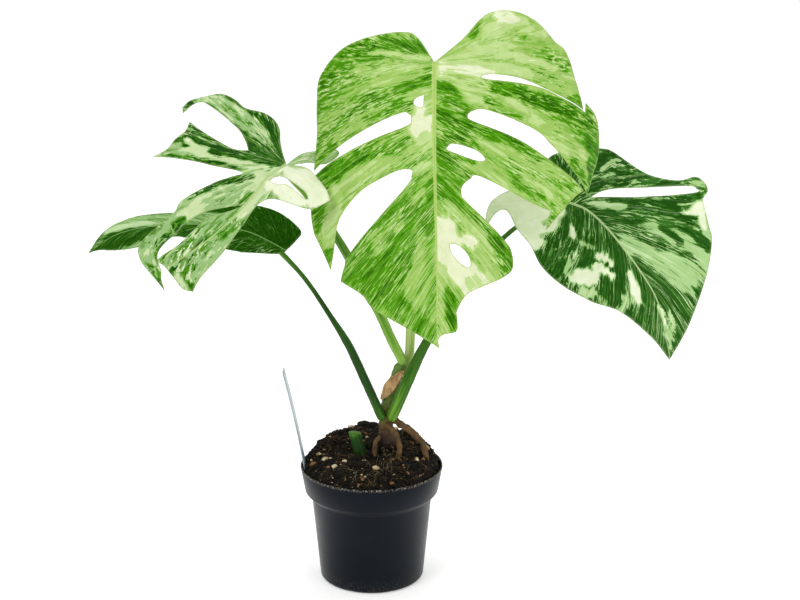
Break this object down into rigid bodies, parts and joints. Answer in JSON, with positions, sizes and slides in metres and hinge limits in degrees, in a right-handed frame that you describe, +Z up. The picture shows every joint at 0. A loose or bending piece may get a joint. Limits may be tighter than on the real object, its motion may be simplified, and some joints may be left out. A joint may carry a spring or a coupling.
{
  "type": "potted monstera plant",
  "caption": "Young variegated monstera with split and holed leaves on arching stalks, in a round black plastic nursery pot with a blank plant label.",
  "frame": {"origin": "middle of the pot's underside, on the floor", "axes": "+Z up; +X from the lowest leaf's side towards the right-hand leaf's side, as seen from the side the front leaf faces; -Y is that side"},
  "size_m": [0.5123, 0.2098, 0.4823],
  "materials": {
    "pot": "satin blue-black moulded plastic, dusty rim",
    "soil": "damp crumbly peat",
    "plant_label": "pale blue-grey blank plastic",
    "main_stem": "brown-green stem with dry scars",
    "dry_leaf_sheath": "dry papery brown",
    "cut_shoot_stub": "green, cut flat",
    "aerial_root_front": "brown fibrous root",
    "aerial_root_right": "brown fibrous root",
    "aerial_root_left": "brown fibrous root",
    "aerial_root_back": "brown fibrous root",
    "leafstalk_front": "pale green and cream, smooth",
    "leafstalk_left": "green with pale wing, smooth",
    "leafstalk_low": "dark green, smooth",
    "leafstalk_right": "dark green, smooth",
    "leaf_front": "satin, green streaked with lime and cream",
    "leaf_left": "satin, green streaked with cream and white",
    "leaf_low": "satin dark green with a pale edge",
    "leaf_right": "satin, dark green, sage and white sectors",
    "perlite_1": "chalky white grain",
    "perlite_2": "chalky white grain",
    "perlite_3": "chalky white grain",
    "perlite_4": "chalky white grain",
    "perlite_5": "chalky white grain",
    "perlite_6": "chalky white grain",
    "perlite_7": "chalky white grain",
    "perlite_8": "chalky white grain",
    "perlite_9": "chalky white grain",
    "perlite_10": "chalky white grain"
  },
  "bodies": {
    "root": {"pot": "pot", "soil": "soil", "plant_label": "plant_label", "main_stem": "main_stem", "dry_leaf_sheath": "dry_leaf_sheath", "cut_shoot_stub": "cut_shoot_stub", "aerial_root_front": "aerial_root_front", "aerial_root_right": "aerial_root_right", "aerial_root_left": "aerial_root_left", "aerial_root_back": "aerial_root_back", "leafstalk_front": "leafstalk_front", "leafstalk_left": "leafstalk_left", "leafstalk_low": "leafstalk_low", "leafstalk_right": "leafstalk_right", "leaf_front": "leaf_front", "leaf_left": "leaf_left", "leaf_low": "leaf_low", "leaf_right": "leaf_right", "perlite_1": "perlite_1", "perlite_2": "perlite_2", "perlite_3": "perlite_3", "perlite_4": "perlite_4", "perlite_5": "perlite_5", "perlite_6": "perlite_6", "perlite_7": "perlite_7", "perlite_8": "perlite_8", "perlite_9": "perlite_9", "perlite_10": "perlite_10"}
  },
  "joints": []
}
